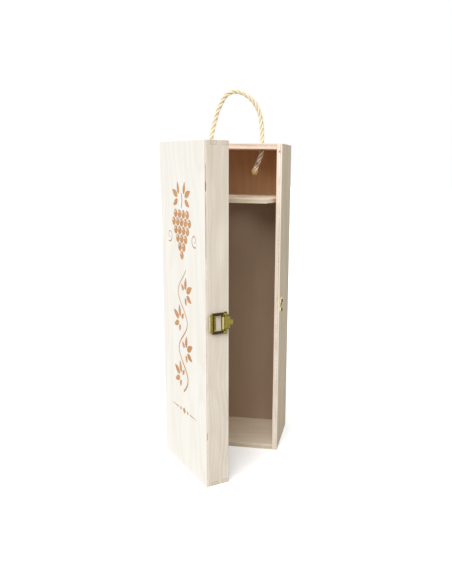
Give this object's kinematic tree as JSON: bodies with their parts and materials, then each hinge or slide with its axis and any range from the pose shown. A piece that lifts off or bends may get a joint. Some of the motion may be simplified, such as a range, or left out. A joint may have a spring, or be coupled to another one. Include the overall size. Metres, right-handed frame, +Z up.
{
  "type": "single bottle gift box",
  "caption": "Upright wooden bottle box with a book-style tray lid on butt hinges, a neck shelf, a twisted rope handle and a brass draw latch.",
  "frame": {"origin": "middle of the carcass's footprint, on the surface that the box stands on", "axes": "+Z up, +Y towards the back panel, +X towards the latch side; the shut lid faces -Y"},
  "size_m": [0.1318, 0.1806, 0.4075],
  "materials": {
    "wall_wood": "sanded, raw",
    "panel_wood": "sanded plywood, raw",
    "bright_brass": "bright plated",
    "olive_brass": "antique plated",
    "dark_brass": "dark antique plated",
    "rope": "twisted sisal"
  },
  "bodies": {
    "carcass": {"back_panel": "panel_wood", "left_wall": "wall_wood", "right_wall": "wall_wood", "top_wall": "wall_wood", "bottom_wall": "wall_wood", "neck_shelf": "panel_wood", "upper_hinge_carcass_leaf": "bright_brass", "upper_hinge_pin": "bright_brass", "lower_hinge_carcass_leaf": "bright_brass", "lower_hinge_pin": "bright_brass", "hinge_carcass_nails": "bright_brass", "catch_plate": "bright_brass", "catch_nails": "bright_brass", "rope_handle": "rope", "rope_knot_left": "rope", "rope_knot_right": "rope"},
    "lid": {"lid_front_panel": "panel_wood", "lid_hinge_wall": "wall_wood", "lid_latch_wall": "wall_wood", "lid_top_wall": "wall_wood", "lid_bottom_wall": "wall_wood", "upper_hinge_lid_leaf": "bright_brass", "lower_hinge_lid_leaf": "bright_brass", "hinge_lid_nails": "bright_brass", "latch_base": "olive_brass", "latch_rivets": "dark_brass", "latch_nails": "olive_brass"},
    "latch_lever": {"latch_lever": "dark_brass", "latch_hook_pin": "olive_brass"},
    "latch_hook": {"latch_hook": "olive_brass"}
  },
  "joints": [
    {"name": "lid_hinge", "type": "hinge", "parent": "carcass", "child": "lid", "pos_m": [-0.0559, -0.0392, 0.175], "axis": [0, 0, -1], "range_deg": [-50, 130]},
    {"name": "lever_hinge", "type": "hinge", "parent": "lid", "child": "latch_lever", "pos_m": [0.01249, -0.1288, 0.175], "axis": [0, 0, 1], "range_deg": [0, 135]},
    {"name": "hook_hinge", "type": "hinge", "parent": "latch_lever", "child": "latch_hook", "pos_m": [0.01058, -0.13041, 0.175], "axis": [0, 0, 1], "range_deg": [-135, 0]}
  ],
  "couplings": [
    {"joint": "hook_hinge", "follows": "lever_hinge", "ratio": -1}
  ]
}
